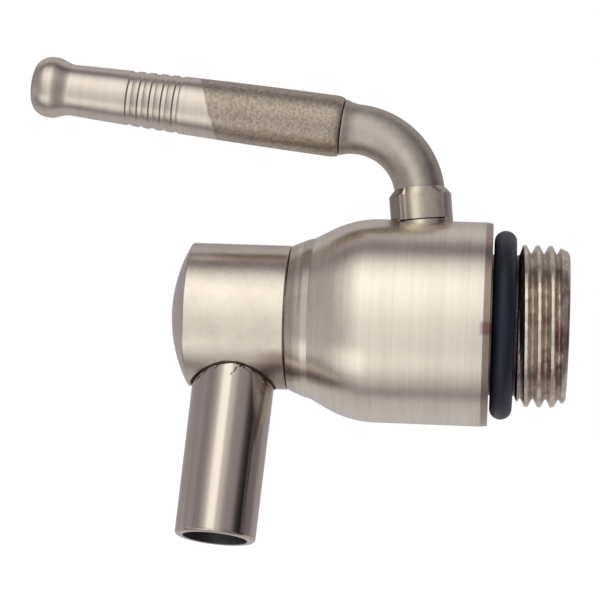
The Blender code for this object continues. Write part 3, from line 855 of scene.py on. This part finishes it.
piece(
    "spout_tube_shell",
    lathe("spout_tube_shell", tube_profile(), 128, closed=True, sharp=35.0),
    TUBE,
    "spout",
    ["spout_tube"],
    TUBE_STEEL,
)


def seam_point(angle, radius):
    """Where the tube's side meets the head's cylinder, in the tube's frame, in mm."""
    to_spout = SPOUT_TURN.inverted() @ TUBE
    low, high = -14.0, -4.0
    for _ in range(40):
        middle = (low + high) / 2.0
        side = Vector((radius * math.cos(angle), radius * math.sin(angle), middle))
        spot = to_spout @ (side * MM)
        if math.hypot(spot.y, spot.z) > HEAD_RADIUS * MM:
            low = middle
        else:
            high = middle
    return Vector((radius * math.cos(angle), radius * math.sin(angle), high))


WELD_ROWS = 300
WELD_SIDES = 8
WELD_OFFSET = 0.12  # how far the bead's middle stands off the tube
WELD_SIZE = 0.15


def weld_mesh():
    shape = bmesh.new()
    rows = []
    for i in range(WELD_ROWS):
        angle = math.tau * i / WELD_ROWS
        centre = seam_point(angle, TUBE_RADIUS + WELD_OFFSET)
        ahead = seam_point(angle + 0.01, TUBE_RADIUS + WELD_OFFSET) - centre
        out = Vector((math.cos(angle), math.sin(angle), 0.0))
        along = ahead.normalized()
        side = along.cross(out).normalized()
        wobble = noise.noise(Vector((3.1 * math.cos(angle), 3.1 * math.sin(angle), 4.0)))
        fine = noise.noise(Vector((27.0 * math.cos(angle), 27.0 * math.sin(angle), 9.0)))
        size = WELD_SIZE + 0.06 * wobble + 0.1 * fine
        centre.z += 0.14 * fine - 0.08 * wobble
        row = []
        for k in range(WELD_SIDES):
            turn = math.tau * k / WELD_SIDES
            spot = centre + (out * math.cos(turn) + side * math.sin(turn)) * size
            row.append(shape.verts.new(spot * MM))
        rows.append(row)
    for i in range(WELD_ROWS):
        a, b = rows[i], rows[(i + 1) % WELD_ROWS]
        for k in range(WELD_SIDES):
            n = (k + 1) % WELD_SIDES
            shape.faces.new((a[k], a[n], b[n], b[k]))
    bmesh.ops.recalc_face_normals(shape, faces=shape.faces)
    return to_mesh("weld_seam", shape, 60.0)


WELD_STEEL = steel(
    "weld_steel",
    light=(0.16, 0.12, 0.10),
    dark=(0.02, 0.016, 0.014),
    roughness=0.5,
    lines=even(2500.0),
    line_bump=1.0,
    tint=0.3,
)
piece("weld_seam", weld_mesh(), TUBE, "spout", None, WELD_STEEL)

# Short cracks that leave the weld: start angle, end angle (degrees round the tube), drop in mm.
CRACKS = [
    (-74.0, -89.0, 1.8),
    (-76.0, -60.0, 0.8),
    (-82.0, -70.0, 0.45),
    (-62.0, -52.0, 0.5),
    (-104.0, -112.0, 0.6),
    (-122.0, -131.0, 0.5),
]
CRACK_STEPS = 10
CRACK_SIZE = 0.12


def crack_mesh():
    shape = bmesh.new()
    for number, (start, end, drop) in enumerate(CRACKS):
        rows = []
        for i in range(CRACK_STEPS + 1):
            t = i / CRACK_STEPS
            shake = 4.0 * noise.noise(Vector((6.0 * t, 3.7 * number, 1.3)))
            angle = math.radians(start + (end - start) * t + shake)
            spot = seam_point(angle, TUBE_RADIUS + 0.02)
            spot.z -= drop * t
            out = Vector((math.cos(angle), math.sin(angle), 0.0))
            side = out.cross(Vector((0.0, 0.0, 1.0)))
            size = CRACK_SIZE * (1.0 - 0.7 * t)
            rows.append(
                [
                    shape.verts.new((spot + (side * a + out * b) * size) * MM)
                    for a, b in ((1.0, 0.0), (0.0, 0.7), (-1.0, 0.0), (0.0, -1.0))
                ]
            )
        for a, b in zip(rows, rows[1:]):
            for k in range(4):
                n = (k + 1) % 4
                shape.faces.new((a[k], a[n], b[n], b[k]))
        shape.faces.new(rows[0][::-1])
        shape.faces.new(rows[-1])
    bmesh.ops.recalc_face_normals(shape, faces=shape.faces)
    return to_mesh("weld_cracks", shape, 60.0)


piece("weld_cracks", crack_mesh(), TUBE, "spout", None, WELD_STEEL)

# ---------------------------------------------------------------- lever

COLLAR_TURN = math.radians(8.0)
COLLAR_RADIUS = 4.43
COLLAR_CORE = 2.2
COLLAR_FOOT = 13.3
COLLAR_TOP = 19.3
COLLAR_FLAT = 3.65
FLAT_FOOT = 14.45
FLAT_SHARPNESS = 60.0  # how hard the edges of the flats are
SLIT_TOP = 14.67
FLAT_SLIT = 0.35  # how far the flats are undercut at their foot
FLAT_CROWN = 28.0  # twice the radius that wear has given the flats


def collar_radius(r, z, angle):
    if r < COLLAR_CORE + 0.1 or z < FLAT_FOOT:
        return r
    across = max(abs(math.sin(angle - COLLAR_TURN)), 0.3)
    along = math.copysign(1.0, math.sin(angle - COLLAR_TURN)) * math.cos(angle - COLLAR_TURN)
    along = max(-3.0, min(3.0, COLLAR_FLAT * along / across))
    crown = along**2 / FLAT_CROWN + 0.04 * max(0.0, along) ** 2
    slit = FLAT_SLIT if z < SLIT_TOP else 0.0
    flat = (COLLAR_FLAT - slit - crown) / across
    soften = math.log(1.0 + math.exp(-FLAT_SHARPNESS * abs(r - flat))) / FLAT_SHARPNESS
    return min(r, flat) - soften * 0.6


def collar_profile():
    outline = [(COLLAR_CORE, COLLAR_FOOT), (4.3, COLLAR_FOOT), (COLLAR_RADIUS, 13.43)]
    outline += [(COLLAR_RADIUS, 14.36), (4.4, 14.44)]
    outline += [(COLLAR_RADIUS, z) for z in (14.46, 14.66, 14.69, 15.0, 17.0)]
    outline += [(COLLAR_RADIUS, 18.2, 0.1), (3.54, 19.25, 0.1), (3.4, COLLAR_TOP)]
    return fillets(outline + [(COLLAR_CORE, COLLAR_TOP)])


piece(
    "lever_collar_shell",
    lathe(
        "lever_collar_shell", collar_profile(), 240, closed=True, radius=collar_radius, sharp=28.0
    ),
    STEM,
    "lever",
    ["lever_collar"],
    COLLAR_STEEL,
)


ROD_RADIUS = 3.57
ROD_CORE = 2.1  # hidden ends inside the collar and the grip
ROD_STEPS = 32
ROD_LEAN = math.radians(1.5)  # where the rod leaves the collar
ROD_FLARE = [(0.5, 3.58), (1.1, 3.64), (1.6, 3.74), (2.0, 3.87), (2.3, 3.97), (2.5, 4.0)]


def rod_stations():
    stations = []
    across = Vector((0.0, 1.0, 0.0))

    def station(x, z, angle, radius):
        out = Vector((math.cos(angle), 0.0, math.sin(angle)))
        stations.append((Vector((x, 0.0, z)), across, out, radius))

    def on_bend(angle, lift, radius):
        x = BEND_RADIUS * (math.cos(angle) - 1.0)
        station(x, BEND_START + BEND_RADIUS * math.sin(angle) + lift, angle, radius)

    station(0.0, 17.6, 0.0, ROD_CORE)
    station(0.0, BEND_START, 0.0, ROD_CORE)
    on_bend(ROD_LEAN, 0.0, ROD_CORE)
    on_bend(ROD_LEAN, 0.01, ROD_RADIUS - 0.07)
    for i in range(1, ROD_STEPS + 1):
        on_bend(ROD_LEAN + (BEND_ANGLE - ROD_LEAN) * i / ROD_STEPS, 0.0, ROD_RADIUS)
    end_x = BEND_RADIUS * (math.cos(BEND_ANGLE) - 1.0)
    end_z = BEND_START + BEND_RADIUS * math.sin(BEND_ANGLE)
    for distance, radius in ROD_FLARE + [(2.52, ROD_CORE - 0.1), (9.4, ROD_CORE - 0.1)]:
        x = end_x - distance * math.sin(BEND_ANGLE)
        z = end_z + distance * math.cos(BEND_ANGLE)
        station(x, z, BEND_ANGLE, radius)
    return stations


piece(
    "lever_rod",
    sweep("lever_rod", rod_stations(), 72),
    STEM,
    "lever",
    ["lever_neck"],
    ROD_STEEL,
)

GRIP_RADIUS = 4.41
GRIP_TAPER = 0.69
GRIP_TAPER_END = 38.6
GRIP_SOCKET = 2.15
GRIP_SOCKET_DEPTH = 7.5
GRIP_ROWS = 14
GROOVES = [23.95 + 1.7 * i for i in range(5)]
# Steps along the grip from a groove's middle, with the depth there.
GROOVE_SHAPE = [
    (-0.46, 0.0),
    (-0.42, 0.02),
    (-0.28, 0.15),
    (0.24, 0.15),
    (0.42, 0.03),
    (0.46, 0.0),
]
GROOVE_BAND_START = 23.2
BULB_START = 39.6
BULB_BLEND = 2.9
BULB_RADIUS = 4.4
BULB_ROWS = 14
TIP_RADIUS = 2.1  # of the bulb's flat end
TIP_HEIGHT = 42.9
TIP_ROUND = 2.5
TIP_ROWS = 12


def grip_radius(z):
    return GRIP_RADIUS - GRIP_TAPER * (z / GRIP_TAPER_END) ** 2


def grip_profile():
    """The socket, the rounded end at the rod, the taper with its grooves, then the bulb."""
    points = [(0.0, GRIP_SOCKET_DEPTH), (GRIP_SOCKET, GRIP_SOCKET_DEPTH), (GRIP_SOCKET, 0.05)]
    points += [(3.96, 0.05), (4.12, 0.12), (4.26, 0.32), (4.36, 0.7), (GRIP_RADIUS, 1.2)]
    plain = [1.2 + (GROOVE_BAND_START - 1.2) * i / GRIP_ROWS for i in range(1, GRIP_ROWS + 1)]
    points += [(grip_radius(z), z) for z in plain]
    for middle in GROOVES:
        points += [(grip_radius(middle) - depth, middle + step) for step, depth in GROOVE_SHAPE]
    points += [(grip_radius(z), z) for z in (31.4, 33.0, 35.0, 37.0, 38.6, 39.2)]
    neck = grip_radius(BULB_START)
    for i in range(BULB_ROWS + 1):
        share = i / BULB_ROWS
        blend = (1.0 - math.cos(math.pi * share)) / 2.0
        points.append((neck + (BULB_RADIUS - neck) * blend, BULB_START + BULB_BLEND * share))
    for i in range(1, TIP_ROWS + 1):
        angle = math.radians(90.0 * i / TIP_ROWS)
        reach = BULB_RADIUS - TIP_RADIUS
        height = TIP_HEIGHT + TIP_ROUND * math.sin(angle)
        points.append((TIP_RADIUS + reach * math.cos(angle), height))
    points.append((0.0, TIP_HEIGHT + TIP_ROUND))
    return points


piece(
    "lever_grip_shell",
    lathe("lever_grip_shell", grip_profile(), 128, sharp=24.0),
    GRIP,
    "lever",
    ["lever_grip"],
    GRIP_STEEL,
)

# ---------------------------------------------------------------- CAD nodes that stay

SLOT_FINISH = {
    "brushed_steel_body": BODY_STEEL,
    "satin_steel_head": HEAD_STEEL,
    "satin_steel_lever": COLLAR_STEEL,
    "polished_steel_tube": TUBE_STEEL,
    "polished_steel_ball": BALL_STEEL,
    "machined_steel": PLAIN_STEEL,
    "black_rubber": BLACK_RUBBER,
    "white_ptfe": WHITE_PTFE,
}
for entry in frame["record"]["subparts"]:
    node = frame["nodes"][entry["node"]]
    finish = SLOT_FINISH[entry["material_slot"]]
    if node.material_slots:
        for holder in node.material_slots:
            holder.material = finish
    else:
        node.data.materials.append(finish)

# ---------------------------------------------------------------- studio


STUDIO_LIGHT = 0.75
FLOOR_HEIGHT = -95.0
FLOOR_SIZE = 4.0
FLOOR_GLOW = 0.6
KEY_PLACE = (-0.12, -0.3, 0.42)
KEY_SIZE = 0.35
KEY_POWER = 1.2
KEY_COLOR = (1.0, 0.97, 0.92)


# Brightness by degrees round the X axis: 0 behind, 90 overhead, 180 ahead and 270 below.
AHEAD = [
    (0, 0.62), (30, 0.56), (46, 0.74), (63, 0.85), (74, 0.72), (82, 0.38), (92, 0.22),
    (98, 0.32), (105, 0.56), (115, 0.97), (126, 1.2), (136, 1.36), (146, 1.35), (155, 1.3),
    (164, 1.24), (175, 1.12), (186, 1.0), (208, 0.93), (228, 0.94), (237, 0.84), (247, 0.68),
    (257, 0.54), (266, 0.36), (272, 0.33), (279, 0.64), (286, 0.79), (318, 0.82), (340, 0.72),
    (360, 0.62),
]
# The same, for what lies far to the left.
ASIDE = [
    (0, 0.62), (40, 0.42), (81, 0.42), (111, 0.45), (164, 0.48), (200, 0.58), (245, 0.7),
    (256, 0.54), (264, 0.22), (273, 0.22), (283, 0.6), (320, 0.6), (360, 0.62),
]
# Brightness from left to right, by the X part of the direction, for the front half.
ACROSS = [
    (-1.0, 0.5), (-0.7, 0.5), (-0.6, 0.58), (-0.5, 0.82), (-0.44, 1.0), (-0.38, 1.3),
    (-0.32, 1.7), (-0.2, 1.74), (-0.03, 1.74), (0.02, 1.4), (0.06, 1.0), (0.22, 0.8),
    (0.3, 0.64), (0.42, 0.46), (0.6, 0.42), (0.74, 0.36), (0.86, 0.15), (0.95, 0.05),
    (1.0, 0.04),
]
LOWER_LEFT = Vector((-0.48, -0.51, -0.714))  # where a soft second light stands


def make_world():
    """A soft studio: bright above the front, darker overhead, below and to the right."""
    world = bpy.data.worlds.new("studio")
    bpy.context.scene.world = world
    world.use_nodes = True
    world.node_tree.nodes.clear()
    g = Graph(world.node_tree)
    way = g.add("ShaderNodeTexCoord").outputs["Generated"]
    parts = g.add("ShaderNodeSeparateXYZ")
    g.put(parts.inputs[0], way)
    x, y, z = parts.outputs
    around = g.math("ARCTAN2", z, y)
    around = g.math("FRACT", g.math("ADD", g.math("DIVIDE", around, math.tau), 1.0))
    front = g.level(around, [(a / 360.0, v) for a, v in AHEAD])
    left = g.level(around, [(a / 360.0, v) for a, v in ASIDE])
    from_left = g.math("MULTIPLY_ADD", x, 0.5, 0.5)
    side = g.level(from_left, [((a + 1.0) / 2.0, v) for a, v in ACROSS])
    facing = g.span(y, 0.25, -0.25)
    side = g.blend(facing, 1.0, side)
    left = g.math("MULTIPLY", left, g.span(x, -0.86, -0.95, 1.0, 1.3))
    value = g.blend(g.span(x, -0.58, -0.8), g.math("MULTIPLY", front, side), left)
    near = g.vector("DOT_PRODUCT", way, LOWER_LEFT)
    value = g.math("ADD", value, g.span(near, 0.93, 0.995, 0.0, 0.75))
    value = g.math("MULTIPLY", value, g.span(x, 0.72, 0.95, 1.0, 0.55))
    tint = g.mix(g.span(value, 0.25, 1.1), (1.08, 0.97, 1.06), (1.01, 1.0, 0.965))
    light = g.add("ShaderNodeBackground")
    g.put(light.inputs["Color"], tint)
    g.put(light.inputs["Strength"], g.math("MULTIPLY", value, STUDIO_LIGHT))
    white = g.add("ShaderNodeBackground")
    white.inputs["Color"].default_value = (1.0, 1.0, 1.0, 1.0)
    white.inputs["Strength"].default_value = 1.0
    ray = g.add("ShaderNodeLightPath")
    choose = g.add("ShaderNodeMixShader")
    g.put(choose.inputs[0], ray.outputs["Is Camera Ray"])
    g.put(choose.inputs[1], light.outputs[0])
    g.put(choose.inputs[2], white.outputs[0])
    g.put(g.add("ShaderNodeOutputWorld").inputs[0], choose.outputs[0])


def make_floor():
    mesh = bpy.data.meshes.new("floor")
    size = FLOOR_SIZE
    corners = [(-size, -size, 0.0), (size, -size, 0.0), (size, size, 0.0), (-size, size, 0.0)]
    mesh.from_pydata(corners, [], [(0, 1, 2, 3)])
    floor = bpy.data.objects.new("floor", mesh)
    floor.location = (0.0, 0.0, FLOOR_HEIGHT * MM)
    bpy.context.scene.collection.objects.link(floor)
    made, g, shader, place = new_material("floor_paper")
    cloud = g.noise(place, 9.0, 3.0)
    g.put(shader.inputs["Base Color"], g.mix(cloud, (0.86, 0.86, 0.86), (0.9, 0.9, 0.9)))
    shader.inputs["Roughness"].default_value = 0.9
    shader.inputs["Specular IOR Level"].default_value = 0.1
    shader.inputs["Emission Color"].default_value = (1.0, 1.0, 1.0, 1.0)
    shader.inputs["Emission Strength"].default_value = FLOOR_GLOW
    mesh.materials.append(made)
    floor.visible_glossy = False


def make_key():
    data = bpy.data.lights.new("key", "AREA")
    data.shape = "DISK"
    data.size = KEY_SIZE
    data.energy = KEY_POWER
    data.color = KEY_COLOR
    key = bpy.data.objects.new("key", data)
    key.location = KEY_PLACE
    aim = (TARGET - key.location).to_track_quat("-Z", "Y")
    key.rotation_euler = aim.to_euler()
    key.visible_glossy = False
    bpy.context.scene.collection.objects.link(key)


make_world()
make_floor()
make_key()
bpy.context.scene.view_settings.view_transform = "Standard"

bpy.context.view_layer.update()
